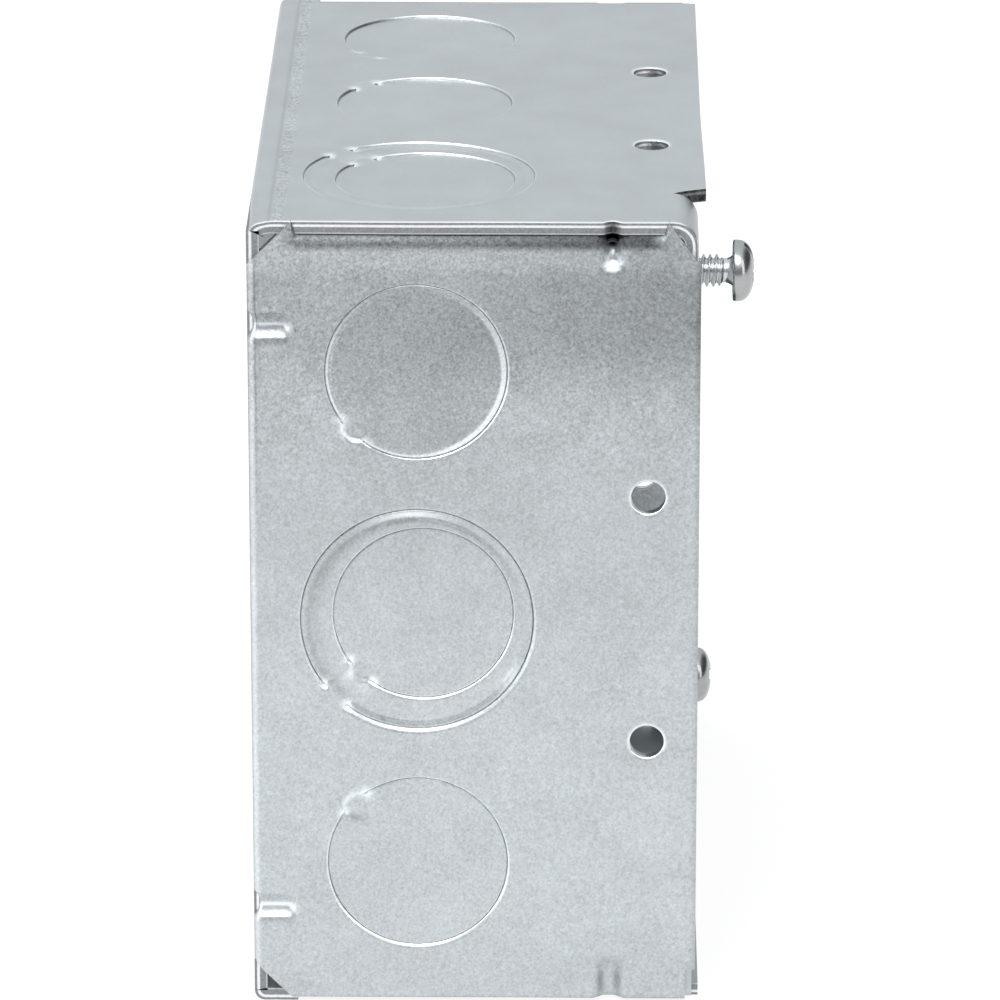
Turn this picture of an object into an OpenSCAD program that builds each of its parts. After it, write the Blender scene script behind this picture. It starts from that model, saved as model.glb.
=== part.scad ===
// Square steel outlet box, folded from one sheet and spot welded at its corners.
// X runs out of the mouth from the outer face of the back, and Z is up: the box
// stands on one of its side walls. Each side wall is drawn as the top wall, with
// w for its width along Y, and turned about X to its place. Going round the box,
// each wall's tab is folded in behind the next wall's sheared edge.

/* [Box] */
// Outside width and height of the square
box_size = 101.6; // [96:0.1:120]
// Depth of the near and far walls, from the back's outer face to the rim
wall_depth = 54.6; // [50:0.1:70]
// How much further the rims of the top and bottom walls reach
rim_lip = 0.4; // [0:0.1:1]
// Thickness of the sheet steel
sheet = 1.6; // [1.2:0.1:2]

/* [Folds] */
// Outside radius of the folds between the back and the walls
back_fold_r = 2; // [1.8:0.1:2.6]
// Outside radius of the folds between a wall and its tab
tab_fold_r = 2; // [1.8:0.1:2.6]
// Reach of a tab behind the next wall, from the outer face of its own wall
tab_reach = 9.5; // [7:0.1:10]
// How far a sheared edge stops short of the next wall's outer face
edge_setback = 0.65; // [0.3:0.05:1]
// Slant cut off the back corners of the near and far walls
corner_cut = 5.4; // [4.5:0.1:6]

/* [Knockouts] */
// Diameter of a half inch trade size knockout
small_ko_d = 22.2; // [20:0.1:22.6]
// Diameter of a three quarter inch trade size knockout
large_ko_d = 28.6; // [28:0.1:29]
// Distance of the knockouts' centres from the back's outer face
ko_depth = 20.4; // [19:0.1:24]
// Spacing of the knockouts on the near and far walls
side_ko_pitch = 31.9; // [30:0.1:32]
// Spacing of the knockouts on the top and bottom walls
top_ko_pitch = 30.8; // [30:0.1:32]
// Shift of the middle knockout on the top and bottom walls
top_ko_shift = 1.2; // [0:0.1:2]
// How far a knockout is pressed in from the face of its wall
ko_press = 0.4; // [0.2:0.05:0.6]
// Offset of the small slug inside the large one, away from their ties
slug_offset = 1.1; // [0.5:0.1:1.6]
// Width of the rounded bead pressed round a large knockout
bead_w = 1; // [0.6:0.1:1.4]
// Width of the tie that joins each slug to its wall
tie_w = 3; // [2:0.1:4]
// Reach of a tie in from the rim of its slug
tie_reach = 1.2; // [0.6:0.1:2]
// Spacing of the small knockouts on the back, from its centre
back_ko_pitch = 27.5; // [26:0.1:29]

/* [Holes] */
// Diameter of the small holes in the side walls
wall_hole_d = 4.2; // [3.5:0.1:5]
// Distance of the small holes from the rim of their wall
wall_hole_inset = 6; // [5:0.1:8]
// Spacing of the pair of small holes in the near and far walls
side_hole_pitch = 31.8; // [28:0.1:36]
// Spacing of the pair of small holes in the top and bottom walls
top_hole_pitch = 32.6; // [28:0.1:36]
// Shift of that pair towards the wall's sheared edge
top_hole_shift = 1.1; // [0:0.1:2]
// Diameter of the mounting holes in the back
back_hole_d = 5.2; // [4.5:0.1:6]
// Spacing of the mounting holes in the back
back_hole_pitch = 70; // [66:0.1:74]

/* [Cover ears] */
// Width of an ear, from the sheared edge of its wall
ear_w = 11.8; // [10:0.1:14]
// Width at the rim of the slit beside an ear
ear_slit_w = 1.9; // [1:0.1:3]
// Reach of that slit past the start of the ear's fold
ear_slit_past = 0.5; // [0.3:0.1:2]
// Length of an ear down from the outer face of its wall
ear_drop = 14.5; // [13:0.1:18]
// Outside radius of the fold between a wall and its ear
ear_fold_r = 2.4; // [1.8:0.1:3]
// Distance of a cover screw below the outer face of the wall that carries its ear
screw_drop = 8.1; // [7.5:0.1:9]
// Distance of a cover screw from the outer face of the wall beside its ear
screw_inset = 7.2; // [6.5:0.1:8]

/* [Cover screws] */
// Outside diameter of the screw's thread
thread_d = 4.16; // [3.4:0.02:4.4]
// Length of a screw below its head
screw_len = 9.5; // [8:0.1:12]
// Diameter of a screw's head
head_d = 7.6; // [6.5:0.1:8.5]
// Height of a screw's head
head_h = 2.7; // [2:0.1:3.2]
// Length and depth of the chamfer at a screw's point
screw_point = 0.5; // [0.3:0.1:1]
// Width of the slot and of the cross recess in a head
slot_w = 1.1; // [0.8:0.05:1.4]
// Gap between the ear and the head of the screw that stands far out
upper_standoff = 4.1; // [2:0.1:5]
// Gap between the ear and the head of the screw that is nearly home
lower_standoff = 0.9; // [0.2:0.1:2]
// Running clearance round a screw in its ear
thread_clearance = 0.05; // [0.02:0.01:0.1]

/* [Pressed details] */
// Distance of the corner gussets from the back's outer face
gusset_depth = 44; // [40:0.1:46]
// Radius of a corner gusset's groove
gusset_r = 1.5; // [1:0.1:2]
// Length of a corner gusset up the face of its wall
gusset_len = 6.2; // [5:0.1:8]
// Depth of a corner gusset where it meets a sheared corner
gusset_sink = 1.3; // [1:0.1:1.5]
// Depth of a corner gusset where it meets a folded corner
gusset_deep_sink = 2.4; // [1.6:0.1:2.6]
// Skin left over a gusset by the next wall's edge
gusset_skin = 0.6; // [0.4:0.1:1]
// Distance of the short ribs over the back folds from the middle of their wall
rib_offset = 37.8; // [35:0.1:40]
// Length of a rib from the back's outer face
rib_len = 5.7; // [4:0.1:8]
// Radius of a rib's groove
rib_r = 1.5; // [1:0.1:2]
// Depth of a rib
rib_sink = 0.9; // [0.4:0.1:1.2]
// Outside diameter of the raised ground boss at the foot of its dish
ground_boss_d = 12; // [10:0.1:14]
// How much narrower the boss is at its top, each side
ground_boss_flare = 1.5; // [0.8:0.1:2]
// Height of the ground boss above the inner face of the back
ground_boss_h = 1.6; // [1:0.1:2.4]
// Distance of the ground boss from the middle of the back, each way
ground_boss_offset = 33; // [31:0.1:36]
// Tap drill diameter of the ground hole
ground_hole_d = 4; // [3.6:0.1:4.4]

/* [Hidden] */
$fn = 64;

steel = [0.74, 0.76, 0.78];
screw_zinc = [0.66, 0.68, 0.70];

half = box_size / 2;
inner_face = half - sheet;
rim_depth = wall_depth + rim_lip;
edge_w = half - edge_setback;
fold_start = half - back_fold_r;
eps = 0.01;

// How far a cut runs past what it cuts
over = 1;

// Where a wall's flat ends and the fold to its tab starts, along w
tab_fold_w = inner_face - tab_fold_r;

// The front corners of the near and far walls: slanted off beside an ear, and
// notched a little at the other end
ear_slant = [3.9, 5.4];
rim_notch = [0.8, 5.6];
slant_depth = wall_depth - ear_slant[0];

// Corner radius at the free end of an ear
ear_end_r = 3;

// Cover screws, measured from the middle of the box
screw_y = half - screw_inset;
screw_z = half - screw_drop;
ear_face = wall_depth;

// An L of sheet in the XY plane, with its rounded outside corner at the origin,
// one leg along +X and one along -Y
module fold_profile(leg_a, leg_b, r) {
    difference() {
        union() {
            translate([r, -leg_b]) square([leg_a - r, leg_b]);
            translate([0, -leg_b]) square([leg_a, leg_b - r]);
            translate([r, -r]) circle(r);
        }
        translate([sheet, -leg_b - over]) square([leg_a, leg_b + over - r]);
        translate([r, -leg_b - over]) square([leg_a, leg_b + over - sheet]);
        translate([r, -r]) circle(r - sheet);
    }
}

// A wall and its fold to the back, between two places along w
module wall_sheet(depth, w0, w1) {
    translate([0, w1, half])
        rotate([90, 0, 0])
            linear_extrude(w1 - w0)
                fold_profile(depth, back_fold_r + over, back_fold_r);
}

// A wall's far edge with the tab folded in behind the next wall, between two
// places along the depth
module tab_sheet(x0, x1) {
    translate([x1, inner_face, half])
        rotate([90, 0, -90])
            linear_extrude(x1 - x0)
                fold_profile(tab_fold_r + over, tab_reach, tab_fold_r);
}

// Outline of a near or far wall, seen square on, as depth against w
module side_outline() {
    corner = half - corner_cut;
    polygon([
        [-over, -corner], [0, -corner], [corner_cut, -half],
        [wall_depth - rim_notch[0], -half], [wall_depth - rim_notch[0], -half + rim_notch[1]],
        [wall_depth, -half + rim_notch[1]], [wall_depth, half - ear_slant[1]],
        [slant_depth, half], [corner_cut, half], [0, corner], [-over, corner]
    ]);
}

// The near or far wall with its tab
module side_wall() {
    difference() {
        intersection() {
            union() {
                wall_sheet(wall_depth, -edge_w, tab_fold_w + eps);
                tab_sheet(corner_cut, slant_depth);
                wall_sheet(corner_cut, tab_fold_w, half);
                translate([slant_depth, tab_fold_w, inner_face])
                    cube([ear_slant[0], half - tab_fold_w, sheet]);
            }
            translate([0, 0, half - tab_reach - over])
                linear_extrude(tab_reach + 2 * over) side_outline();
        }
        side_cuts();
    }
    knockout_slug(ko_depth, side_ko_pitch, small_ko_d, -1);
    eccentric_slug(ko_depth, 0, -1);
    knockout_slug(ko_depth, -side_ko_pitch, small_ko_d, 1);
}

// What is pressed or punched into the near or far wall
module side_cuts() {
    knockout_cut(ko_depth, side_ko_pitch, small_ko_d, -1);
    eccentric_cut(ko_depth, 0, -1);
    knockout_cut(ko_depth, -side_ko_pitch, small_ko_d, 1);
    for (side = [-1, 1])
        wall_hole(wall_depth - wall_hole_inset, side * side_hole_pitch / 2);
    for (side = [-1, 1])
        rib_cut(side * rib_offset);
}

// The top or bottom wall with its tab and its ear
module eared_wall() {
    difference() {
        union() {
            wall_sheet(ear_face - ear_fold_r, -edge_w, tab_fold_w + eps);
            wall_sheet(rim_depth, ear_w - edge_w, tab_fold_w + eps);
            wall_sheet(corner_cut, tab_fold_w, edge_w);
            tab_sheet(corner_cut, rim_depth);
            ear();
        }
        ear_slit_cut();
        knockout_cut(ko_depth, top_ko_pitch, small_ko_d, -1);
        knockout_cut(ko_depth, top_ko_shift, small_ko_d, 1);
        eccentric_cut(ko_depth, -top_ko_pitch, 1);
        for (side = [-1, 1])
            wall_hole(rim_depth - wall_hole_inset, side * top_hole_pitch / 2 - top_hole_shift);
    }
    knockout_slug(ko_depth, top_ko_pitch, small_ko_d, -1);
    knockout_slug(ko_depth, top_ko_shift, small_ko_d, 1);
    eccentric_slug(ko_depth, -top_ko_pitch, 1);
}

// The slit that frees an ear from the rim beside it, wider at its mouth
module ear_slit_cut() {
    start = ear_face - ear_fold_r - ear_slit_past;
    mouth = rim_depth + over;
    wide = ear_slit_w * (mouth - start) / (rim_depth - start);
    translate([0, ear_w - edge_w, inner_face - over])
        linear_extrude(sheet + 2 * over)
            polygon([[start, 0], [mouth, 0], [mouth, wide]]);
}

// The ear folded down from the mouth end of the wall, with its screw hole
module ear() {
    difference() {
        translate([ear_face, -edge_w, half])
            rotate([90, 0, 180])
                linear_extrude(ear_w)
                    fold_profile(ear_fold_r + over, ear_drop, ear_fold_r);
        translate([ear_face + over, -screw_y, screw_z])
            rotate([0, -90, 0])
                cylinder(h = sheet + 2 * over, d = thread_d + 2 * thread_clearance);
        translate([ear_face - sheet - over, ear_w - edge_w - ear_end_r, half - ear_drop - over])
            difference() {
                cube([sheet + 2 * over, ear_end_r + over, ear_end_r + over]);
                translate([-over, 0, ear_end_r + over])
                    rotate([0, 90, 0]) cylinder(h = sheet + 4 * over, r = ear_end_r);
            }
    }
}

// A slug is pressed in: a pocket outside, and the same height proud inside. Its
// tie stays level with the wall, -1 or 1 along w and always towards the back.
module knockout_cut(x, w, d, tie) {
    translate([x, w, half - ko_press]) tied_disc(over, d, tie);
}

module knockout_slug(x, w, d, tie) {
    translate([x, w, inner_face - ko_press]) tied_disc(ko_press + eps, d, tie);
}

// A small slug inside a large one, each pressed further in, with a bead between
module eccentric_cut(x, w, tie) {
    bead_r = bead_w / 2;
    translate([x, w, half - ko_press / 2]) {
        tied_disc(over, large_ko_d, tie);
        difference() {
            translate([0, 0, bead_r / 2])
                rotate_extrude() translate([large_ko_d / 2 - bead_r, 0]) circle(bead_r);
            translate([0, 0, -over]) tie_tongue(2 * over, large_ko_d, tie);
        }
    }
    knockout_cut(x + slug_shift(), w - tie * slug_shift(), small_ko_d, tie);
}

module eccentric_slug(x, w, tie) {
    translate([x, w, inner_face - ko_press / 2])
        tied_disc(ko_press / 2 + eps, large_ko_d, tie);
    knockout_slug(x + slug_shift(), w - tie * slug_shift(), small_ko_d, tie);
}

function slug_shift() = slug_offset * sqrt(0.5);

// A slug's disc with the place of its tie left out
module tied_disc(h, d, tie) {
    difference() {
        cylinder(h = h, d = d);
        translate([0, 0, -over]) tie_tongue(h + 2 * over, d, tie);
    }
}

module tie_tongue(h, d, tie) {
    rotate([0, 0, atan2(tie, -1)])
        translate([d / 2 - tie_reach, -tie_w / 2, 0]) cube([tie_reach + over, tie_w, h]);
}

module wall_hole(x, w) {
    translate([x, w, inner_face - over]) cylinder(h = sheet + 2 * over, d = wall_hole_d);
}

// A short groove pressed along the depth over the fold to the back
module rib_cut(w) {
    translate([-over, w, half + rib_r - rib_sink])
        rotate([0, 90, 0]) cylinder(h = rib_len + over - rib_r, r = rib_r);
    translate([rib_len - rib_r, w, half + rib_r - rib_sink]) sphere(rib_r);
}

// Slanted groove that stiffens a welded corner, pressed into one end of the near
// or far wall, which is at -half or half along w. It sinks deeper where it runs in
// below the next wall's edge, and leaves a thin skin there.
module gusset_cut(end) {
    sink = end > 0 ? gusset_deep_sink : gusset_sink;
    run_out = end > 0 ? -gusset_skin : over;
    slope = atan2(sink, gusset_len);
    translate([gusset_depth, end * (half - gusset_len), half + gusset_r])
        rotate([-end * (90 + slope), 0, 0]) {
            sphere(gusset_r);
            cylinder(h = (gusset_len + run_out) / cos(slope), r = gusset_r);
        }
}

// The flat back with its knockouts, mounting holes and ground boss
module back() {
    difference() {
        union() {
            translate([0, -fold_start, -fold_start])
                cube([sheet, 2 * fold_start, 2 * fold_start]);
            for (side = [-1, 1])
                translate([0, -edge_w, side > 0 ? half - corner_cut : -fold_start])
                    cube([sheet, 2 * edge_w, corner_cut - back_fold_r]);
            ground_cone(sheet - eps, ground_boss_d + 2 * ground_boss_flare);
        }
        ground_cone(-eps, ground_boss_d);
        translate([-over, ground_boss_offset, -ground_boss_offset])
            rotate([0, 90, 0])
                cylinder(h = sheet + ground_boss_h + 2 * over, d = ground_hole_d);
        for (y = [-1, 1])
            translate([-over, y * back_hole_pitch / 2, 0])
                rotate([0, 90, 0]) cylinder(h = sheet + 2 * over, d = back_hole_d);
        back_frame() {
            knockout_cut(back_ko_pitch, back_ko_pitch, small_ko_d, -1);
            knockout_cut(-back_ko_pitch, -back_ko_pitch, small_ko_d, 1);
            eccentric_cut(0, 0, 1);
        }
    }
    back_frame() {
        knockout_slug(back_ko_pitch, back_ko_pitch, small_ko_d, -1);
        knockout_slug(-back_ko_pitch, -back_ko_pitch, small_ko_d, 1);
        eccentric_slug(0, 0, 1);
    }
}

// The flared rise of the ground boss, from a place along X, wide at its foot
module ground_cone(x, foot_d) {
    translate([x, ground_boss_offset, -ground_boss_offset])
        rotate([0, 90, 0])
            cylinder(h = ground_boss_h + eps, d1 = foot_d, d2 = foot_d - 2 * ground_boss_flare);
}

// Lays what is drawn for the top wall on the back's outer face
module back_frame() {
    translate([half, 0, 0]) rotate([0, -90, 0]) children();
}

module box() {
    color(steel)
        difference() {
            union() {
                back();
                for (turn = [0, 180])
                    rotate([turn, 0, 0]) eared_wall();
                for (turn = [90, 270])
                    rotate([turn, 0, 0]) side_wall();
            }
            for (turn = [90, 270])
                rotate([turn, 0, 0])
                    for (end = [-1, 1]) gusset_cut(end);
        }
}

// A round head with a slot and a cross recess, on a plain shank of the thread's
// outside diameter. Drawn along X with the head's underside at the origin.
module cover_screw() {
    crown_r = (head_d * head_d / 4 + head_h * head_h) / (2 * head_h);
    difference() {
        rotate([0, 90, 0]) {
            intersection() {
                translate([0, 0, head_h - crown_r]) sphere(crown_r);
                cylinder(h = head_h, d = head_d);
            }
            translate([0, 0, screw_point - screw_len])
                cylinder(h = screw_len - screw_point + eps, d = thread_d);
            translate([0, 0, -screw_len])
                cylinder(h = screw_point, d1 = thread_d - 2 * screw_point, d2 = thread_d);
        }
        translate([head_h / 2, -head_d, -slot_w / 2]) cube([head_h, 2 * head_d, slot_w]);
        translate([head_h / 2, -slot_w / 2, -head_d / 4]) cube([head_h, slot_w, head_d / 2]);
    }
}

module upper_cover_screw() {
    color(screw_zinc)
        translate([ear_face + upper_standoff, -screw_y, screw_z]) cover_screw();
}

module lower_cover_screw() {
    color(screw_zinc)
        translate([ear_face + lower_standoff, screw_y, -screw_z]) cover_screw();
}

box();
upper_cover_screw();
lower_cover_screw();
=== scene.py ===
"""Looks of a square sheet-steel electrical box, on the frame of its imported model.

Lengths are millimetres inside the classes and become metres in put_mesh(). The
axes are the model's: X runs out of the mouth from the outer face of the back,
Y from the near wall to the far wall, and Z is up.
"""
import logging
import math
from collections.abc import Callable
from dataclasses import dataclass, field
from enum import Enum

import bpy
import numpy as np
from mathutils import Matrix, Vector


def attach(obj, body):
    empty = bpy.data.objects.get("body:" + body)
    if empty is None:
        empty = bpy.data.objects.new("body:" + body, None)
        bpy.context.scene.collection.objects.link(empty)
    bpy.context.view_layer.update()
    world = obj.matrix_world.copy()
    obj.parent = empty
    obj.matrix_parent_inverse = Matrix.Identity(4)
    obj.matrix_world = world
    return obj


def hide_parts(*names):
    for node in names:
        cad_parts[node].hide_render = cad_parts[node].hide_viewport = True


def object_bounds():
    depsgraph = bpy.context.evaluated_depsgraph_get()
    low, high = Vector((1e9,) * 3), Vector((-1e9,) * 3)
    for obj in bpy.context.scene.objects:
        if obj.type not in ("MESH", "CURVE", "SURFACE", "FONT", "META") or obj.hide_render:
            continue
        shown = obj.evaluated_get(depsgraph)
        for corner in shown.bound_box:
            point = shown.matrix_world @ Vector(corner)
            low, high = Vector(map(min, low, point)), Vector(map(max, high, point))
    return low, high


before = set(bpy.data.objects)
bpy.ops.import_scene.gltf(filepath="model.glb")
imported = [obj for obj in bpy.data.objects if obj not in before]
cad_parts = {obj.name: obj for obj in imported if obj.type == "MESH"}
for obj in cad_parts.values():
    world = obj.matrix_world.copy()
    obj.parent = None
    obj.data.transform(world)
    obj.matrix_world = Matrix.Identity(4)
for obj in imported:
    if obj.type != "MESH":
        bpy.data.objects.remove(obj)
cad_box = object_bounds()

log = logging.getLogger("electrical_box")

MM = 0.001


# Meshes

def put_mesh(name: str, points: np.ndarray, faces: list[tuple[int, ...]] | np.ndarray,
             body: str, sharp_deg: float = 40.0) -> bpy.types.Object:
    """Makes a smooth-shaded object from points in millimetres.

    Args:
        name: the piece's name.
        points: an (n, 3) array.
        faces: corner numbers of each face, anticlockwise seen from outside.
        body: the body of the frame that the piece rides on.
        sharp_deg: edges that bend more than this stay sharp.

    Returns:
        The object, at the origin and riding on its body.
    """
    mesh = bpy.data.meshes.new(name)
    mesh.from_pydata((points * MM).tolist(), [], [tuple(int(i) for i in f) for f in faces])
    mesh.validate()
    mesh.shade_smooth()
    mesh.set_sharp_from_angle(angle=math.radians(sharp_deg))
    obj = bpy.data.objects.new(name, mesh)
    bpy.context.scene.collection.objects.link(obj)
    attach(obj, body)
    return obj


def grid_faces(rows: int, columns: int, offset: int = 0, wrap: bool = False) -> np.ndarray:
    """Quads of a grid whose points are numbered row by row.

    Args:
        rows: points down the grid.
        columns: points along each row.
        offset: the number of the grid's first point.
        wrap: joins the last column to the first.

    Returns:
        An (n, 4) array of point numbers.
    """
    number = np.arange(rows * columns).reshape(rows, columns) + offset
    if wrap:
        number = np.concatenate([number, number[:, :1]], axis=1)
    return np.stack([number[:-1, :-1], number[:-1, 1:], number[1:, 1:], number[1:, :-1]],
                    axis=-1).reshape(-1, 4)


def smooth_step(x: np.ndarray, low: float, high: float) -> np.ndarray:
    """0 below low, 1 above high and 3t^2 - 2t^3 between them."""
    t = np.clip((x - low) / (high - low), 0, 1)
    return t * t * (3 - 2 * t)


# Sheet metal

@dataclass(frozen=True)
class Sheet:
    """The folded sheet's own sizes, shared by every panel."""

    half: float = 50.8
    thick: float = 1.6
    fold_r: float = 1.3
    ear_fold_r: float = 3.1
    tab_reach: float = 9.5
    setback: float = 0.65
    corner_cut: float = 5.4
    side_depth: float = 54.8
    rim_depth: float = 55.2
    ear_face: float = 54.5
    ear_drop: float = 14.5

    @property
    def edge_w(self) -> float:
        """Where a sheared edge lies across its wall."""
        return self.half - self.setback

    @property
    def tab_fold_w(self) -> float:
        """Where a wall's flat ends and the fold to its tab starts."""
        return self.half - self.thick - self.fold_r


SHEET = Sheet()


@dataclass
class Relief:
    """What is pressed into a panel, point by point, and how its zinc looks there.

    outer and inner are heights in millimetres over the panel's flat faces, less
    than 0 towards the inside of the box. The others are marks that the materials
    read, in the order of MARKS: how much a point lies in a sheared gap, which is
    painted darker as shade; how much its zinc is burnished or painted lighter as a
    highlight; how much darker it is, mostly painted shade; how strong its crinkle
    is; and how much a cut edge is painted dark as shade.
    """

    outer: np.ndarray
    inner: np.ndarray
    gap: np.ndarray
    burnish_and_highlight: np.ndarray
    tone: np.ndarray
    grain: np.ndarray
    cut_edge_shade: np.ndarray

    def press(self, depth: np.ndarray) -> None:
        """Presses both faces in by a depth."""
        self.outer = self.outer - depth
        self.inner = self.inner - depth

    def add(self, other: "Relief") -> "Relief":
        """Both reliefs, one pressed over the other."""
        return Relief(self.outer + other.outer, self.inner + other.inner,
                      np.maximum(self.gap, other.gap), np.maximum(self.burnish_and_highlight, other.burnish_and_highlight),
                      self.tone + other.tone, self.grain + other.grain,
                      np.maximum(self.cut_edge_shade, other.cut_edge_shade))

    def marks(self) -> np.ndarray:
        """The marks side by side, in the order of MARKS."""
        return np.stack([getattr(self, name) for name in MARKS], axis=-1)


MARKS = ("gap", "burnish_and_highlight", "tone", "grain", "cut_edge_shade")


def flat_relief(p: np.ndarray) -> Relief:
    """No relief, for as many points as p has."""
    return Relief(*(np.zeros_like(p) for _ in range(7)))


@dataclass(frozen=True)
class Knockout:
    """A slug sheared round its rim and pressed in, with one tie left standing.

    wall_roll and slug_roll are the widths of the rolled edges outside and inside
    the rim. They are full where the rim faces lean, and narrower elsewhere. The four
    fields after lean say how much darker the slug's colour is than the wall's, how
    much painted shade darkens the bead on the side of low p, how much the rolled
    edges are burnished and painted lighter as a highlight, and where patches of
    painted highlight lie inside the rim, each by its angle from p towards w and its
    spread, in degrees.
    """

    p: float
    w: float
    d: float
    tie: tuple[float, float]
    press: float = 0.30
    bead: float = 0.0
    button: float = 0.12
    tie_half: float = 1.45
    wall_roll: float = 0.30
    slug_roll: float = 0.16
    lean: tuple[float, float] = (0.0, -1.0)
    slug_darker: float = 0.0
    bead_shade: float = 0.0
    roll_burnish_and_sheen: float = 1.0
    painted_highlights: tuple[tuple[float, float], ...] = ()
    inner: "Knockout | None" = None

    @property
    def reach(self) -> float:
        """Half the side of the square that the knockout takes up in its panel."""
        return self.d / 2 + 0.95

    def rings(self) -> list[tuple[float, float, float]]:
        """Centre and radius of each ring of points, from outside in."""
        across = [0.78, 0.58, 0.44, 0.32, 0.22, 0.14, 0.08, 0.04, 0.0, -0.04, -0.08, -0.14,
                  -0.22, -0.32, -0.44, -0.6, -0.8, -1.0, -1.25]
        found = [(self.p, self.w, self.d / 2 + a) for a in across]
        if self.inner:
            return found + [(self.inner.p, self.inner.w, self.inner.d / 2 + 0.85)] \
                + self.inner.rings()
        return found + [(self.p, self.w, r) for r in
                        (self.d / 2 - 1.7, self.d / 2 - 2.4, self.d / 2 - 3.6, self.d * 0.27,
                         self.d * 0.17, self.d * 0.07)]

    def relief(self, p: np.ndarray, w: np.ndarray) -> Relief:
        """The pressed form round and inside the slug's rim.

        With rho the distance outside the rim, the slug sits lower by a step over
        0.14 mm, a bell-shaped gap runs along the rim, and the rolled edges fall evenly
        towards it, the wall's by 0.6 of its width and the slug's by 0.2. Near the tie
        these fade out, the step becomes a soft slope over 2.5 mm, a small dent marks
        each end of the shear, and a round flat punch mark lies on the rim.
        """
        dp, dw = p - self.p, w - self.w
        far = np.hypot(dp, dw)
        rho = far - self.d / 2
        size = math.hypot(*self.tie)
        tp, tw = self.tie[0] / size, self.tie[1] / size
        beside, ahead = np.abs(dp * tw - dw * tp), dp * tp + dw * tw
        tied = np.where(ahead > 0, 1 - smooth_step(beside, self.tie_half, self.tie_half + 0.35), 0)
        facing = (dp * self.lean[0] + dw * self.lean[1]) / np.maximum(far, 1e-6)
        share = 0.5 + 0.5 * smooth_step(facing, -0.2, 0.8)
        step = -self.press * (1 - smooth_step(rho, -0.07, 0.07))
        slope = -self.press * (1 - smooth_step(rho, -1.9, 0.7))
        gap = np.exp(-np.minimum(np.abs(rho) / 0.07, 9) ** 2)
        rolls = [(rho > 0) * np.clip(1 - rho / (self.wall_roll * share), 0, 1),
                 (rho <= 0) * np.clip(1 + rho / (self.slug_roll * share), 0, 1)]
        roll = -share * (0.6 * self.wall_roll * rolls[0] + 0.2 * self.slug_roll * rolls[1])
        bead = -self.bead * np.exp(-np.minimum(np.abs(rho + 0.9) / 0.42, 9) ** 2)
        struck_r = self.d / 2 - 0.8
        mark = np.hypot(dp - tp * struck_r, dw - tw * struck_r)
        button = -self.button * (1 - smooth_step(mark, 1.1, 2.1))
        ends = np.zeros_like(p)
        for side in (-1, 1):
            turn = side * (self.tie_half + 0.5) / (self.d / 2)
            c, s = math.cos(turn), math.sin(turn)
            end_p = self.d / 2 * (tp * c - tw * s)
            end_w = self.d / 2 * (tp * s + tw * c)
            ends += np.exp(-np.minimum(np.hypot(dp - end_p, dw - end_w) / 0.68, 9) ** 2)
        loose = 1 - tied
        outer = loose * (step - 0.10 * gap + roll + bead) + tied * slope + button - 0.22 * ends
        found = flat_relief(p)
        found.outer, found.inner = outer, loose * step + tied * slope
        # The sheared gap is painted darker as shade by the sheet's material.
        found.gap = gap * loose
        # The rolled edges are burnished and painted lighter as a highlight, most where they face lean,
        # and the dents at the shear's ends are painted lighter as highlights.
        band = smooth_step(np.maximum(rolls[0], rolls[1]), 0, 0.3) * (np.abs(rho) > 0.05)
        # A crescent on the punch mark's rim towards the tie is a painted highlight.
        struck = np.exp(-np.minimum(np.abs(mark - 1.75) / 0.34, 9) ** 2) \
            * smooth_step((ahead - struck_r) / np.maximum(mark, 0.5), -0.1, 0.6) \
            * min(self.button / 0.4, 1.0)
        found.burnish_and_highlight = np.maximum.reduce([self.roll_burnish_and_sheen * band * loose * (0.55 + 0.45 * share), ends,
                                       0.9 * struck])
        # Patches of painted highlight inside the rim.
        for centre, spread_deg in self.painted_highlights:
            off = (np.degrees(np.arctan2(dw, dp)) - centre + 180) % 360 - 180
            found.burnish_and_highlight = np.maximum(found.burnish_and_highlight, np.exp(-(off / spread_deg) ** 2
                                                     - ((rho + 0.55) / 0.42) ** 2))
        # The slug's colour is darker by one amount, and painted shade darkens the bead on the side of
        # low p.
        found.tone = self.slug_darker * (1 - smooth_step(rho, -self.slug_roll - 0.15, -self.slug_roll)) \
            + self.bead_shade * ridge(rho + 0.95, 0.75) * smooth_step(-dp / np.maximum(far, 1e-6), 0.3, 0.9)
        return found.add(self.inner.relief(p, w)) if self.inner else found


@dataclass(frozen=True)
class Hole:
    """A punched round hole, whose edge rolls in a little."""

    p: float
    w: float
    d: float

    @property
    def reach(self) -> float:
        """Half the side of the square that the hole takes up in its panel."""
        return self.d / 2 + 1.4

    def rings(self) -> list[tuple[float, float, float]]:
        """Centre and radius of each ring of points, from outside in."""
        return [(self.p, self.w, self.d / 2 + a)
                for a in (1.0, 0.7, 0.48, 0.32, 0.2, 0.12, 0.06, 0.02, 0.0)]

    def relief(self, p: np.ndarray, w: np.ndarray) -> Relief:
        """The roll of the punched edge, falling off by half every 0.13 mm."""
        found = flat_relief(p)
        rho = np.maximum(np.hypot(p - self.p, w - self.w) - self.d / 2, 0)
        found.outer = -0.2 * np.exp(-rho / 0.19)
        # The rolled edge is burnished and painted lighter as a highlight.
        found.burnish_and_highlight = np.exp(-((rho - 0.1) / 0.2) ** 2) * 0.8
        return found


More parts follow.
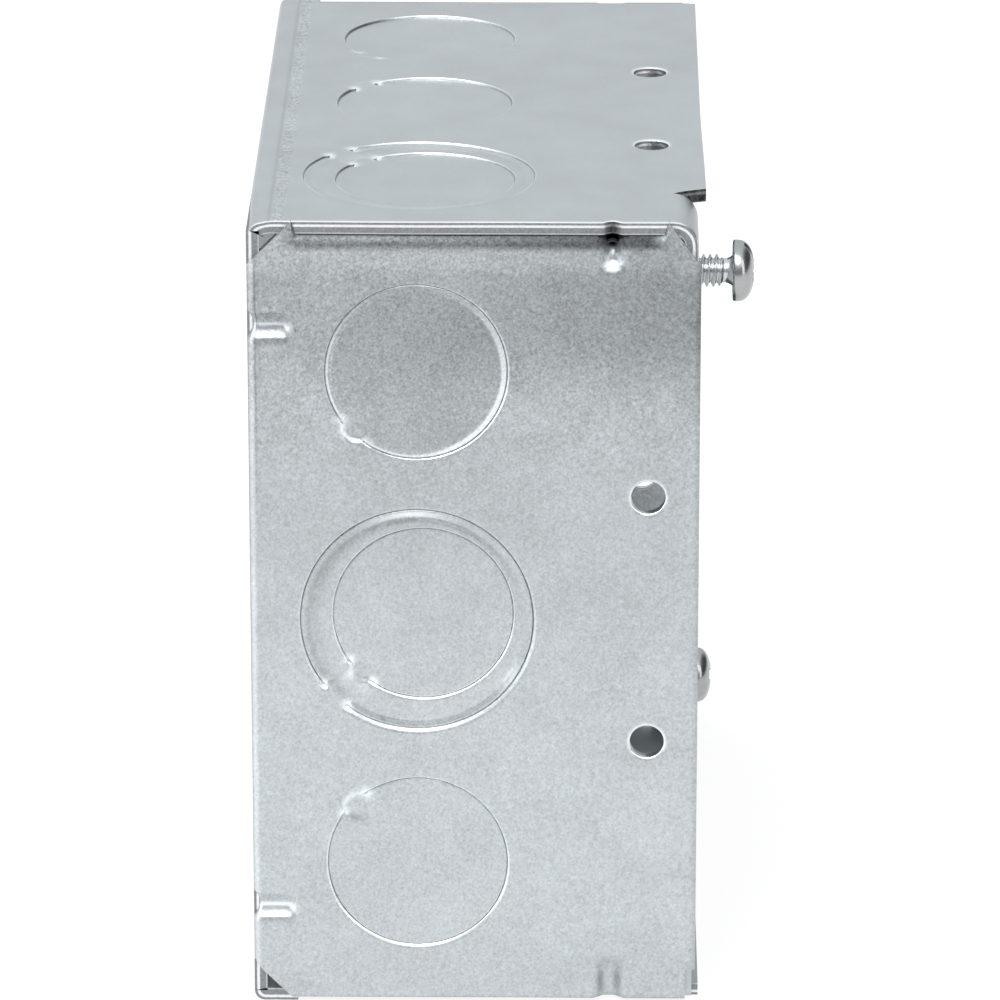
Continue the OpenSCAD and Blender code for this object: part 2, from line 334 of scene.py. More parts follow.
@dataclass
class Patchwork:
    """Grids of points on a sheet's outer face, joined and given their thickness."""

    outer: list[np.ndarray] = field(default_factory=list)
    inner: list[np.ndarray] = field(default_factory=list)
    marks: list[np.ndarray] = field(default_factory=list)
    faces: list[tuple[int, ...]] = field(default_factory=list)
    count: int = 0

    def add(self, outer: np.ndarray, inner: np.ndarray, marks: np.ndarray,
            faces: list[tuple[int, ...]]) -> None:
        """Adds points, their twins on the inner face, their marks and their faces."""
        self.outer.append(outer)
        self.inner.append(inner)
        self.marks.append(marks)
        self.faces += [tuple(i + self.count for i in f) for f in faces]
        self.count += len(outer)

    def build(self, name: str, body: str) -> bpy.types.Object:
        """Joins points that meet, closes the open edges and makes the piece.

        Args:
            name: the piece's name.
            body: the body that it rides on.

        Returns:
            The piece, with slot 0 on its faces and slot 1 on its cut edges.
        """
        outer, inner = np.concatenate(self.outer), np.concatenate(self.inner)
        marks = np.concatenate(self.marks)
        _, first, number = np.unique(np.round(outer * 500 + 0.137).astype(int), axis=0,
                                     return_index=True, return_inverse=True)
        number = number.reshape(-1)
        outer, inner, marks = outer[first], inner[first], marks[first]
        front = []
        for face in self.faces:
            loop = [int(number[i]) for i in face]
            loop = [a for a, b in zip(loop, loop[1:] + loop[:1]) if a != b]
            if len(set(loop)) > 2:
                front.append(tuple(loop))
        total = len(outer)
        sides = {}
        for face in front:
            for a, b in zip(face, face[1:] + face[:1]):
                sides[(a, b)] = True
        open_sides = np.array([(a, b) for a, b in sides if (b, a) not in sides], int)
        rim, place = np.unique(open_sides, return_inverse=True)
        place = place.reshape(-1, 2)
        steps = (0.10, 0.42)
        rows = [outer[rim] + (inner[rim] - outer[rim]) * s for s in steps]
        points = np.concatenate([outer, inner, *rows])
        base = [rim, 2 * total + np.arange(len(rim)),
                2 * total + len(rim) + np.arange(len(rim)), total + rim]
        faces = front + [tuple(i + total for i in reversed(f)) for f in front]
        cut_from = len(faces)
        for top, low in zip(base, base[1:]):
            faces += [(int(top[b]), int(top[a]), int(low[a]), int(low[b])) for a, b in place]
        obj = put_mesh(name, points, faces, body, 42.0)
        mesh = obj.data
        through = np.concatenate([np.zeros(total), np.ones(total),
                                  *(np.full(len(rim), s) for s in steps)])
        cut = marks[rim] * (0, 0, 0, 0, 1)
        table = np.concatenate([marks, marks * (0, 0, 1, 1, 1), cut, cut])
        for key, values in (("through", through), *zip(MARKS, table.T)):
            mesh.attributes.new(key, "FLOAT", "POINT").data.foreach_set(
                "value", np.ascontiguousarray(values, np.float32))
        slots = np.zeros(len(mesh.polygons), np.int32)
        slots[cut_from:] = 1
        mesh.materials.append(None)
        mesh.materials.append(None)
        mesh.polygons.foreach_set("material_index", slots)
        return obj


def spread(breaks: list[float], pitch: float, fine: list[float] = ()) -> np.ndarray:
    """Grid lines through all breaks, evenly spread between them.

    Args:
        breaks: places that must have a line.
        pitch: the widest spacing.
        fine: further places that get a line.

    Returns:
        The lines in rising order.
    """
    marks = np.array(sorted(set(np.round([*breaks, *fine], 4))))
    parts = [np.linspace(a, b, max(1, math.ceil((b - a) / pitch - 1e-6)) + 1)[:-1]
             for a, b in zip(marks, marks[1:])]
    return np.concatenate([*parts, marks[-1:]])


class Bend:
    """A fold along one line of a panel, and the panel's place round the box."""

    def __init__(self, start: float, radius: float, sign: int, turn_deg: float,
                 swap: bool = False, back: bool = False,
                 ends: tuple[float, float] | None = None) -> None:
        """Holds where the fold starts, its outside radius and its direction.

        Args:
            start: where the fold starts, along p.
            radius: its outside radius.
            sign: 1 for a fold past start and -1 for one before it.
            turn_deg: the wall's turn about X from the top wall's place.
            swap: p runs across the wall and w along its depth.
            back: the panel is the flat back.
            ends: places along w between which the sheet folds. At them it is flat.
        """
        self.start, self.radius, self.sign, self.ends = start, radius, sign, ends
        self.turn, self.swap, self.back = math.radians(turn_deg), swap, back

    def place(self, p: np.ndarray, w: np.ndarray, height: np.ndarray) -> np.ndarray:
        """Puts points of the unfolded panel in their place in the box.

        Past start, p is an arc's length: the angle is the distance past start over
        the radius, up to a right angle, and what is left runs straight down. The
        height is along the surface's own normal, and deeper than the radius the two
        flat faces meet in a corner. Towards its ends a fold flattens out, and it
        stays under the plate that lies over it.
        """
        past = self.sign * (p - self.start)
        angle = np.clip(past / self.radius, 0, np.pi / 2)
        rest = np.maximum(past - self.radius * np.pi / 2, 0)
        along = np.where(past < 0, past, self.radius * np.sin(angle)) + height * np.sin(angle)
        up = -self.radius * (1 - np.cos(angle)) - rest + height * np.cos(angle)
        deep = height < -self.radius
        along = np.where(deep, np.minimum(along, self.radius + height), along)
        up = np.where(deep, np.minimum(up, height), up) + SHEET.half
        along = self.start + self.sign * along
        if self.ends:
            share = smooth_step(w, self.ends[0], self.ends[0] + 0.9) \
                * (1 - smooth_step(w, self.ends[1] - 0.9, self.ends[1]))
            flat = np.minimum(p, SHEET.half)
            along = flat + (along - flat) * share
            up = SHEET.half + height + (up - SHEET.half - height) * share
            under = SHEET.thick * smooth_step(SHEET.edge_w - up, -0.05, 0.1)
            along = np.minimum(along, SHEET.half - under)
        x, y = (w, along) if self.swap else (along, w)
        if self.back:
            return np.stack([SHEET.half - up, y, x], axis=-1)
        c, s = math.cos(self.turn), math.sin(self.turn)
        return np.stack([x, y * c - up * s, y * s + up * c], axis=-1)


@dataclass
class Panel:
    """One flat part of the sheet with its fold: a grid with a window per feature."""

    bend: Bend
    p_lines: np.ndarray
    w_lines: np.ndarray
    features: list[Knockout | Hole]
    shape: Callable[[np.ndarray, np.ndarray], Relief]
    limits: Callable[[np.ndarray], tuple[np.ndarray, np.ndarray]] | None = None
    warp: Callable[[np.ndarray, np.ndarray], np.ndarray] | None = None

    def lay(self, work: Patchwork) -> None:
        """Adds the grid round the windows, and a fan of rings in each window."""
        p, w = np.meshgrid(self.p_lines, self.w_lines, indexing="ij")
        keep = np.ones((len(self.p_lines) - 1, len(self.w_lines) - 1), bool)
        windows = []
        for f in self.features:
            i0, i1 = (int(np.argmin(np.abs(self.p_lines - v)))
                      for v in (f.p - f.reach, f.p + f.reach))
            j0, j1 = (int(np.argmin(np.abs(self.w_lines - v)))
                      for v in (f.w - f.reach, f.w + f.reach))
            keep[i0:i1, j0:j1] = False
            windows.append((f, i0, i1, j0, j1))
        flat_p, flat_w = p.reshape(-1), w.reshape(-1)
        if self.limits:
            low, high = self.limits(flat_w)
            flat_p = np.clip(flat_p, low, high)
        faces = grid_faces(len(self.p_lines), len(self.w_lines))[keep.reshape(-1)]
        self.put(work, flat_p, flat_w, [tuple(f) for f in faces.tolist()])
        for window in windows:
            self.fan(work, *window)

    def fan(self, work: Patchwork, feature: Knockout | Hole, i0: int, i1: int, j0: int,
            j1: int, split: int = 2) -> None:
        """Fills a window with rings round its feature.

        The window's own corners and sides give the angles, and each ring has split
        points between two of them. Between the window's border and the first ring lie
        loops that turn from the one's shape to the other's, closer to the ring.
        """
        a, b = self.p_lines, self.w_lines
        border = [(a[i], b[j0]) for i in range(i0, i1)] + [(a[i1], b[j]) for j in range(j0, j1)] \
            + [(a[i], b[j1]) for i in range(i1, i0, -1)] + [(a[i0], b[j]) for j in range(j1, j0, -1)]
        border = np.array(border)
        n = len(border)
        angle = np.unwrap(np.arctan2(border[:, 1] - feature.w, border[:, 0] - feature.p))
        nxt = np.append(angle[1:], angle[0] + 2 * np.pi)
        fine = (angle[:, None] + (nxt - angle)[:, None] * np.arange(split) / split).reshape(-1)
        rings = np.array(feature.rings())
        p = rings[:, :1] + rings[:, 2:] * np.cos(fine)
        w = rings[:, 1:2] + rings[:, 2:] * np.sin(fine)
        between = np.arange(split)[:, None] / split
        edge = (border[:, None] + (np.roll(border, -1, 0) - border)[:, None] * between).reshape(-1, 2)
        share = np.array([0.55, 0.34, 0.22, 0.14, 0.06])[:, None]
        p = np.concatenate([p[0] + (edge[:, 0] - p[0]) * share, p])
        w = np.concatenate([w[0] + (edge[:, 1] - w[0]) * share, w])
        m = n * split
        faces = []
        for i in range(n):
            start = n + i * split
            ring = [n + (i * split + k) % m for k in range(split, -1, -1)]
            faces.append((i, (i + 1) % n, *ring))
        faces += [tuple(f) for f in grid_faces(len(p), m, n, wrap=True).tolist()]
        if isinstance(feature, Knockout):
            last = n + (len(p) - 1) * m
            faces.append(tuple(range(last, last + m)))
        self.put(work, np.concatenate([border[:, 0], p.reshape(-1)]),
                 np.concatenate([border[:, 1], w.reshape(-1)]),
                 [tuple(reversed(f)) for f in faces])

    def put(self, work: Patchwork, p: np.ndarray, w: np.ndarray,
            faces: list[tuple[int, ...]]) -> None:
        """Adds points of the unfolded panel, with its relief, to the patchwork."""
        if not self.bend.swap:
            faces = [tuple(reversed(f)) for f in faces]
        relief = self.shape(p, w)
        for feature in self.features:
            relief = relief.add(feature.relief(p, w))
        across = self.warp(p, w) if self.warp else w
        work.add(self.bend.place(p, across, relief.outer),
                 self.bend.place(p, across, relief.inner - SHEET.thick),
                 relief.marks(), faces)


def ridge(x: np.ndarray, half_width: float) -> np.ndarray:
    """A rounded ridge 1 high: (1 - (x / half_width)^2)^2, and 0 beyond."""
    return np.clip(1 - (x / half_width) ** 2, 0, None) ** 2


def rolled_edge(inside: np.ndarray, depth: float = 0.13, reach: float = 0.16) -> np.ndarray:
    """The roll of a sheared edge, at a distance inside it."""
    return -depth * np.exp(-np.maximum(inside, 0) / reach)


EDGE_LINES = np.array([0.0, 0.05, 0.12, 0.22, 0.4, 0.8])


class Side(Enum):
    """Where a wall stands: its turn about X from the top wall's place, in degrees."""

    TOP = 0.0
    NEAR = 90.0
    BOTTOM = 180.0
    FAR = 270.0


@dataclass
class SideWall:
    """The near or the far wall: two small knockouts, a double one, ribs and gussets."""

    name: str
    side: Side
    rib_w: float = 37.8
    rib_len: float = 5.7
    gusset_p: float = 44.1
    slant: tuple[float, float] = (3.9, 5.4)
    notch: tuple[float, float] = (1.25, 4.6)

    def relief(self, p: np.ndarray, w: np.ndarray) -> Relief:
        """What is pressed in at depth p and place w across, w past the fold unrolled.

        Ribs are round-bottomed grooves over the back fold, painted lighter on their
        lower side as a highlight and darker on their upper side as shade. A gusset is a
        dart that deepens towards its corner and ends in a narrow pit. The pit and lines
        by the dart are painted dark as shade, and a spot below the pit is a painted
        highlight. The sheet bows inwards by less than a tenth of a millimetre between
        folds. Painted shade darkens the zinc towards the fold to the tab, the top of the
        near wall, for the darker surroundings that it reflects, and deeply on the
        outside of that fold, under the edge of the plate over it. A painted shade line
        and a painted highlight run along the back fold.
        """
        found = flat_relief(p)
        for side in (-1, 1):
            run = 1 - smooth_step(p, self.rib_len - 1.5, self.rib_len)
            shape = run * np.clip(1 - ((w - side * self.rib_w) / 1.75) ** 2, 0, None) ** 1.2
            found.press(0.75 * shape)
            # The rib's lower side is painted lighter as a highlight and its upper side darker as
            # shade.
            lower = 1 - smooth_step(w - side * self.rib_w, -0.1, 0.4)
            found.burnish_and_highlight = np.maximum(found.burnish_and_highlight, 0.9 * shape ** 0.5 * lower)
            found.tone += 0.12 * shape * (1 - lower)
        dart = ridge(p - self.gusset_p, 2.1)
        pit = ridge(p - self.gusset_p, 1.0) * smooth_step(w, 46.3, 47.8)
        found.press(dart * (1.1 * smooth_step(w, 44.2, 46.4) + 1.35 * smooth_step(-w, 44.5, 48.0))
                    + 0.8 * pit)
        # Lines by the dart, painted dark as shade.
        groove = np.exp(-((np.abs(p - self.gusset_p) - 1.15) / 0.45) ** 2) \
            * smooth_step(-w, 44.8, 46.2) + ridge(p - self.gusset_p, 2.6) \
            * np.exp(-((w + 45.2) / 0.8) ** 2)
        # A painted shade line along the back fold and behind it.
        edge_line = np.exp(-((p - 0.98) / 0.12) ** 2) * smooth_step(w, 12, 30) \
            + 1 - smooth_step(p, -0.35, -0.05)
        bow = 0.05 * ridge(p - 28, 40) * (0.6 + 0.4 * np.cos(w / 9.0)) \
            + 0.03 * (1 + np.sin(p / 6.0 + w / 13.0)) * ridge(p - 28, 26)
        found.press(bow)
        found.outer += rolled_edge(w + SHEET.edge_w)
        # A painted highlight below the gusset's pit, and one along the back fold.
        spot = np.exp(-((p - self.gusset_p) / 1.05) ** 2 - ((w - 45.3) / 0.85) ** 2)
        found.burnish_and_highlight = np.maximum.reduce([found.burnish_and_highlight, spot, 0.3 * ridge(p - 0.36, 0.7)])
        # The outside of the fold to the tab, under the plate over it, is painted deep shade.
        deep_shade = smooth_step(w, 46.9, 48.1) * smooth_step(p, 3.5, 7.0) \
            * (1 - smooth_step(p, 48.6, 51.4))
        # Painted shade: darker towards the fold to the tab and near the mouth, for the darker
        # surroundings that the wall reflects, a little lighter just below that fold, darker towards
        # the sheared edge and at the front rim, deep under the plate, in the gusset's pit and lines,
        # and along the back fold.
        found.tone += (0.14 + 0.16 * smooth_step(p, 15, 52)) * smooth_step(w, 25, 38) \
            + 0.14 * smooth_step(w, -15, 27) - 0.12 * smooth_step(w, 43.5, 46.0) \
            + 0.05 * smooth_step(-w, 38, 48) + 0.14 * smooth_step(p, 54.0, 54.7) \
            + 0.18 * smooth_step(-w, SHEET.edge_w - 0.5, SHEET.edge_w) + 0.44 * deep_shade + 0.4 * pit \
            + 0.2 * groove + 0.25 * edge_line
        found.grain = 0.8 + 0.6 * smooth_step(w, 10, 36) + 0.6 * deep_shade
        return found

    def limits(self, w: np.ndarray) -> tuple[np.ndarray, np.ndarray]:
        """The lowest and highest p of the wall's outline, for each place across."""
        corner = SHEET.half - SHEET.corner_cut
        x = np.clip(np.abs(w) - corner, 0, None)
        arc = SHEET.fold_r - SHEET.fold_r * np.arcsin(np.clip(1 - x / SHEET.fold_r, 0, 1))
        low = np.where(x > SHEET.fold_r, x, arc)
        low = np.where(x <= 0, -1e9, low)
        slant = (w - (SHEET.half - self.slant[1])) * self.slant[0] / self.slant[1]
        high = SHEET.side_depth - np.clip(slant, 0, None)
        return low, np.where(w < -SHEET.half + self.notch[1], SHEET.side_depth - self.notch[0], high)

    def build(self) -> bpy.types.Object:
        """Builds the wall with its fold to the back and the tab beyond its top edge."""
        features = [
            Knockout(20.4, 31.9, 22.1, (-1, -1), press=0.1, button=0.45, wall_roll=0.3,
                     slug_roll=0.85, lean=(1.0, -0.1), slug_darker=0.09),
            Knockout(20.4, -31.9, 22.1, (-1, 1), press=0.14, button=0.25, wall_roll=0.5,
                     slug_roll=0.1, lean=(0.15, -1.0)),
            Knockout(20.4, 0.0, 28.4, (-1, -1), press=0.15, bead=0.22, button=0.0, wall_roll=0.68,
                     slug_roll=0.14, lean=(0.25, -1.0), bead_shade=0.2, roll_burnish_and_sheen=0.4, painted_highlights=((93, 15), (-33, 7)),
                     inner=Knockout(21.18, 0.78, 22.0, (-1, -1), press=0.15, button=0.3,
                                    wall_roll=0.36)),
            Hole(48.6, 15.9, 4.2), Hole(48.6, -15.9, 4.2),
        ]
        fold, tab_w, edge = SHEET.fold_r, SHEET.tab_fold_w, SHEET.edge_w
        slant_p = SHEET.side_depth - self.slant[0]
        ends = [f.p + s * f.reach for f in features for s in (-1, 1)]
        fine = [*np.arange(fold - fold * np.pi / 2, 1.3, 0.12), *np.arange(1.3, 6.4, 0.25),
                *np.arange(41.9, 46.2, 0.25), *(SHEET.side_depth - EDGE_LINES),
                SHEET.side_depth - self.notch[0], SHEET.corner_cut, slant_p,
                *(slant_p - np.arange(0.2, 1.0, 0.2))]
        p_lines = spread([fold - fold * np.pi / 2, SHEET.side_depth, *ends], 0.95, fine)
        sides = [f.w + s * f.reach for f in features for s in (-1, 1)]
        fine = [*(-edge + EDGE_LINES), *np.arange(-50.0, -43.8, 0.3), *np.arange(44.0, tab_w, 0.3),
                *np.arange(self.rib_w - 1.75, self.rib_w + 1.8, 0.25),
                *np.arange(-self.rib_w - 1.75, -self.rib_w + 1.8, 0.25),
                -45.4, self.notch[1] - SHEET.half, self.notch[1] - SHEET.half + 0.01, 45.4]
        w_lines = spread([-edge, tab_w, *sides], 0.95, fine)
        work = Patchwork()
        back = Bend(fold, fold, -1, self.side.value)
        Panel(back, p_lines, w_lines, features, self.relief, self.limits).lay(work)
        end = tab_w + fold * np.pi / 2 + SHEET.tab_reach - fold
        across = np.concatenate([np.linspace(tab_w, tab_w + fold * np.pi / 2, 13),
                                 np.linspace(tab_w + fold * np.pi / 2, end, 8)[1:]])
        corner_lines = np.append(across[across < SHEET.half], SHEET.half)
        front = p_lines[p_lines >= slant_p - 1e-6]
        rear = p_lines[p_lines <= SHEET.corner_cut + 1e-6]
        for lines in (front, rear):
            Panel(back, lines, corner_lines, [], self.relief, self.limits).lay(work)
        along = p_lines[(p_lines >= SHEET.corner_cut - 1e-6) & (p_lines <= slant_p + 1e-6)]
        tab = Bend(tab_w, fold, 1, self.side.value, swap=True, ends=(SHEET.corner_cut, slant_p))
        Panel(tab, across, along, [], lambda p, w: self.relief(w, p)).lay(work)
        obj = work.build(self.name, "box")
        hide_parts("box")
        return obj


@dataclass
class EaredWall:
    """The top or the bottom wall, with the ear for a cover screw at its sheared edge."""

    name: str
    side: Side
    slit_w: float = -38.3
    slit_p: float = 51.6
    slit_wide: float = 2.0
    rim_flare: float = 0.3
    notch_p: float = 44.1

    def relief(self, p: np.ndarray, w: np.ndarray) -> Relief:
        """The sheared edge's roll and a slight bow of the sheet between its folds.

        The back fold sinks a little towards the sheared edge, where nothing holds it,
        and the bending tool has left a line and a band of fine nicks beside it.
        """
        found = flat_relief(p)
        found.press(0.04 * ridge(p - 28, 42) * (0.6 + 0.4 * np.cos(w / 8.0 + 1))
                    + 0.02 * (1 + np.sin(p / 5.0 - w / 11.0)) * ridge(p - 28, 27)
                    + 0.45 * ridge(p - 0.4, 2.6) * smooth_step(-w, 34, 50))
        found.outer += rolled_edge(w + SHEET.edge_w)
        line = np.exp(-np.minimum(np.abs(p - 2.7) / 0.2, 9) ** 2)
        found.outer -= 0.04 * line
        found.tone = 0.16 * line
        found.grain = 0.15 + 1.3 * smooth_step(p, 2.8, 3.2) * (1 - smooth_step(p, 4.2, 4.8))
        # The sheared edge is burnished and painted lighter as a highlight.
        found.burnish_and_highlight = np.exp(-((w + SHEET.edge_w) / 0.24) ** 2)
        # The cut faces in the slit and in the notch under the neighbour's gusset are painted dark as
        # shade.
        slit = (w > self.slit_w - 0.05) & (w < self.slit_w + self.slit_wide + 0.2)
        found.cut_edge_shade = np.maximum(slit * (p > self.slit_p - 0.6),
                                ridge(p - self.notch_p, 1.4) * (w < 1 - SHEET.edge_w))
        return found

    def nick(self, p: np.ndarray, w: np.ndarray) -> np.ndarray:
        """Pushes the sheared edge back where the neighbour's gusset was struck."""
        return w + 0.7 * ridge(p - self.notch_p, 1.3) * smooth_step(-w, 48.3, SHEET.edge_w)

    def limits(self, w: np.ndarray) -> tuple[np.ndarray, np.ndarray]:
        """The highest p of the outline: the ear's fold, the slit beside it, the rim.

        The rim flares towards the slit. The slit's far side runs from its tip to the
        rim as a power of 1.5 of the distance across.
        """
        rim = SHEET.rim_depth + self.rim_flare * smooth_step(-w, 0, -self.slit_w)
        across = np.clip((w - self.slit_w) / self.slit_wide, 0, 1)
        high = np.where(w <= self.slit_w, SHEET.ear_face - SHEET.ear_fold_r,
                        self.slit_p + across ** 1.5 * (rim - self.slit_p))
        return np.full_like(w, -1e9), high

    def ear_limits(self, w: np.ndarray) -> tuple[np.ndarray, np.ndarray]:
        """The lower end of the ear, with its rounded corner."""
        end = self.ear_end()
        round_r, start = 3.0, self.slit_w - 3.0
        past = np.clip(w - start, 0, round_r)
        return np.full_like(w, -1e9), end - (round_r - np.sqrt(round_r ** 2 - past ** 2))

    def ear_end(self) -> float:
        """The unrolled length to the ear's lower end."""
        r = SHEET.ear_fold_r
        return SHEET.ear_face - r + r * np.pi / 2 + SHEET.ear_drop - r

    def build(self) -> bpy.types.Object:
        """Builds the wall with its fold, tab and ear."""
        features = [
            Knockout(20.4, 30.8, 22.1, (-1, -1), button=0.06),
            Knockout(20.4, 1.2, 22.1, (-1, 1), button=0.06),
            Knockout(20.4, -30.8, 28.4, (-1, 1), press=0.2, bead=0.18, button=0.0,
                     inner=Knockout(21.18, -31.58, 22.0, (-1, 1), press=0.22, button=0.1)),
            Hole(49.0, 15.2, 4.2), Hole(49.0, -17.4, 4.2),
        ]
        fold, tab_w, edge, ear_r = SHEET.fold_r, SHEET.tab_fold_w, SHEET.edge_w, SHEET.ear_fold_r
        ends = [f.p + s * f.reach for f in features for s in (-1, 1)]
        ear_p, rim = SHEET.ear_face - ear_r, SHEET.rim_depth
        hole_p = ear_p + ear_r * np.pi / 2 + 8.1 - ear_r
        ear_hole = Hole(hole_p, -(SHEET.half - 7.2), 4.26)
        fine = [*np.arange(fold - fold * np.pi / 2, 2.6, 0.39), fold, self.slit_p, ear_p,
                SHEET.corner_cut, *np.arange(2.6, 5.0, 0.2), *np.arange(42.8, 45.5, 0.2),
                *(rim - EDGE_LINES)]
        p_lines = spread([fold - fold * np.pi / 2, rim + self.rim_flare, *ends], 0.95, fine)
        sides = [f.w + s * f.reach for f in (*features, ear_hole) for s in (-1, 1)]
        fine = [*(-edge + EDGE_LINES), self.slit_w, self.slit_w + 0.01,
                *np.arange(self.slit_w, self.slit_w + self.slit_wide, 0.2),
                self.slit_w + self.slit_wide, *(self.slit_w - 3 * np.cos(np.linspace(0.3, 1.5, 7))),
                self.slit_w - 3]
        w_lines = spread([-edge, tab_w, *sides], 0.95, fine)
        work = Patchwork()
        Panel(Bend(fold, fold, -1, self.side.value), p_lines, w_lines, features, self.relief,
              self.limits, self.nick).lay(work)
        along = p_lines[(p_lines >= SHEET.corner_cut - 1e-6) & (p_lines <= SHEET.ear_face)]
        end = tab_w + fold * np.pi / 2 + SHEET.tab_reach - fold
        across = np.concatenate([np.linspace(tab_w, tab_w + fold * np.pi / 2, 13),
                                 np.linspace(tab_w + fold * np.pi / 2, end, 8)[1:]])
        Panel(Bend(tab_w, fold, 1, self.side.value, swap=True), across, along, [],
              lambda p, w: self.relief(w, p)).lay(work)
        rear = p_lines[p_lines <= SHEET.corner_cut + 1e-6]
        Panel(Bend(fold, fold, -1, self.side.value), rear, spread([tab_w, edge], 0.4), [],
              self.relief).lay(work)
        ear_w = w_lines[w_lines <= self.slit_w + 1e-6]
        ear_end = self.ear_end()
        lines = spread([ear_p, ear_end, hole_p - ear_hole.reach, hole_p + ear_hole.reach], 0.7,
                       [*np.linspace(ear_p, ear_p + ear_r * np.pi / 2, 11), *(ear_end - EDGE_LINES)])
        Panel(Bend(ear_p, ear_r, 1, self.side.value), lines, ear_w, [ear_hole], self.relief,
              self.ear_limits).lay(work)
        obj = work.build(self.name, "box")
        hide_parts("box")
        return obj


@dataclass
class BackPlate:
    """The flat back: a double knockout, two small ones, two holes and a ground boss."""

    name: str = "back_plate"
    boss: tuple[float, float] = (-33.0, 33.0)

    def relief(self, p: np.ndarray, w: np.ndarray) -> Relief:
        """The ground boss: a dish pressed inwards by 1.6 mm round its tapped hole."""
        found = flat_relief(p)
        rho = np.hypot(p - self.boss[0], w - self.boss[1])
        found.press(1.6 * (1 - smooth_step(rho, 4.4, 6.4)))
        found.grain = found.grain + 0.8
        return found

    def build(self) -> bpy.types.Object:
        """Builds the back."""
        features = [
            Knockout(27.5, 27.5, 22.1, (-1, -1), button=0.06),
            Knockout(-27.5, -27.5, 22.1, (-1, 1), button=0.06),
            Knockout(0.0, 0.0, 28.4, (-1, 1), press=0.2, bead=0.2, button=0.0,
                     inner=Knockout(0.78, -0.78, 22.0, (-1, 1), press=0.22, button=0.1)),
            Hole(0.0, 35.0, 5.2), Hole(0.0, -35.0, 5.2), Hole(*self.boss, 4.0),
        ]
        reach, wide = SHEET.half - SHEET.fold_r, SHEET.edge_w
        corner = SHEET.half - SHEET.corner_cut
        fine = [*np.arange(self.boss[0] - 6.6, self.boss[0] + 6.7, 0.6), -corner, corner,
                -corner - 0.01, corner + 0.01]
        p_lines = spread([-reach, reach, *(f.p + s * f.reach for f in features for s in (-1, 1))],
                         0.9, fine)
        fine = [*np.arange(self.boss[1] - 6.6, self.boss[1] + 6.7, 0.6)]
        w_lines = spread([-reach, reach, *(f.w + s * f.reach for f in features for s in (-1, 1))],
                         0.9, fine)
        work = Patchwork()
        flat = Bend(1e6, 1.0, 1, 0.0, back=True)
        Panel(flat, p_lines, w_lines, features, self.relief).lay(work)
        for side in (-1, 1):
            strip = spread([reach, wide], 0.5)
            strip = strip if side > 0 else -strip[::-1]
            for lines in (p_lines[p_lines > corner], p_lines[p_lines < -corner]):
                Panel(flat, lines, strip, [], self.relief).lay(work)
        obj = work.build(self.name, "box")
        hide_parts("box")
        return obj


# Materials

class Wire:
    """A socket's value in a node tree. Arithmetic on it adds Math nodes."""

    def __init__(self, tree: bpy.types.NodeTree, socket: bpy.types.NodeSocket) -> None:
        """Holds an output socket of a tree."""
        self.tree = tree
        self.socket = socket

    def math(self, operation: str, *others: "Wire | float", swap: bool = False) -> "Wire":
        """Adds a Math node.

        Args:
            operation: the Math node's operation.
            others: its other operands.
            swap: puts the other operand first.

        Returns:
            The node's value.
        """
        node = self.tree.nodes.new("ShaderNodeMath")
        node.operation = operation
        operands = [*others, self] if swap else [self, *others]
        for socket, operand in zip(node.inputs, operands):
            if isinstance(operand, Wire):
                self.tree.links.new(operand.socket, socket)
            else:
                socket.default_value = operand
        return Wire(self.tree, node.outputs[0])

    def __add__(self, other: "Wire | float") -> "Wire":
        """The sum."""
        return self.math("ADD", other)

    __radd__ = __add__

    def __sub__(self, other: "Wire | float") -> "Wire":
        """The difference."""
        return self.math("SUBTRACT", other)

    def __rsub__(self, other: float) -> "Wire":
        """A number less this."""
        return self.math("SUBTRACT", other, swap=True)

    def __mul__(self, other: "Wire | float") -> "Wire":
        """The product."""
        return self.math("MULTIPLY", other)

    __rmul__ = __mul__

    def __truediv__(self, other: "Wire | float") -> "Wire":
        """The quotient."""
        return self.math("DIVIDE", other)


